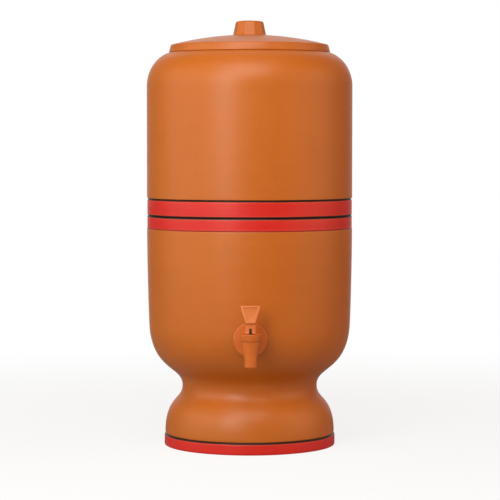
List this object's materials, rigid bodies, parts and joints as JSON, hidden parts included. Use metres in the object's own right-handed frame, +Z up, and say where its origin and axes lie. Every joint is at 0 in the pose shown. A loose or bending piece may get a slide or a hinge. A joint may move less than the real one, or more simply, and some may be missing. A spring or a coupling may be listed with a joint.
{
  "type": "clay water filter",
  "caption": "Stacked clay vessels with a domed lid; candles in the upper one filter water into the footed lower one, which a lever tap empties.",
  "frame": {"origin": "on the ground, under the middle of the whole outline seen from above, tap included; the vessels' own axis is 21.5 mm behind it, at +Y", "axes": "+Z up along the vessels' axis, -Y towards the tap and the person who uses it, +X to that person's right"},
  "size_m": [0.26, 0.303, 0.5368],
  "materials": {
    "clay": "smooth unglazed terracotta with a satin sheen, red painted bands and black lines",
    "candle_ceramic": "matte porous white ceramic",
    "blue_plastic": "moulded, semi-gloss",
    "white_plastic": "moulded, semi-gloss",
    "tap_plastic": "moulded terracotta-coloured plastic, semi-gloss",
    "black_plastic": "moulded",
    "rubber": "matte",
    "silicone": "translucent matte",
    "steel": "bright drawn wire",
    "foam": "fine closed-cell"
  },
  "bodies": {
    "lower": {"lower_chamber": "clay", "tap_body": "tap_plastic", "tap_outer_gasket": "rubber", "tap_inner_gasket": "rubber", "tap_nut": "white_plastic", "tap_cap": "tap_plastic", "tap_seat_cup": "silicone", "tap_spring": "steel"},
    "upper": {"upper_chamber": "clay", "left_candle": "candle_ceramic", "left_candle_base": "blue_plastic", "left_upper_washer": "rubber", "left_lower_washer": "rubber", "left_wing_nut": "blue_plastic", "left_valve_body": "white_plastic", "left_float_pin": "steel", "right_candle": "candle_ceramic", "right_candle_base": "blue_plastic", "right_upper_washer": "rubber", "right_lower_washer": "rubber", "right_wing_nut": "blue_plastic", "right_valve_body": "white_plastic", "right_float_pin": "steel"},
    "lid": {"lid": "clay"},
    "left_float": {"left_float_arm": "white_plastic", "left_valve_seal": "rubber", "left_float": "foam"},
    "right_float": {"right_float_arm": "white_plastic", "right_valve_seal": "rubber", "right_float": "foam"},
    "stem": {"tap_stem": "black_plastic"},
    "lever": {"tap_lever": "tap_plastic", "tap_lever_pin": "steel"}
  },
  "joints": [
    {"name": "upper_lift", "type": "slide", "parent": "lower", "child": "upper", "axis": [0, 0, 1], "range_m": [0, 0.13]},
    {"name": "lid_lift", "type": "slide", "parent": "upper", "child": "lid", "axis": [0, 0, 1], "range_m": [0, 0.06]},
    {"name": "left_float_swing", "type": "hinge", "parent": "upper", "child": "left_float", "pos_m": [-0.055, 0.03549, 0.2373], "axis": [-1, 0, 0], "range_deg": [0, 30]},
    {"name": "right_float_swing", "type": "hinge", "parent": "upper", "child": "right_float", "pos_m": [0.055, 0.00749, 0.2373], "axis": [1, 0, 0], "range_deg": [0, 30]},
    {"name": "stem_lift", "type": "slide", "parent": "lower", "child": "stem", "axis": [0, 0, 1], "range_m": [0, 0.0022], "deforming": ["tap_spring", "tap_seat_cup"]},
    {"name": "lever_tilt", "type": "hinge", "parent": "stem", "child": "lever", "pos_m": [0, -0.13779, 0.15855], "axis": [1, 0, 0], "range_deg": [0, 35], "stiffness_Nm_per_rad": 0.06, "springref_deg": -17.19}
  ],
  "couplings": [
    {"joint": "stem_lift", "follows": "lever_tilt", "m_per_rad": 0.00347}
  ]
}
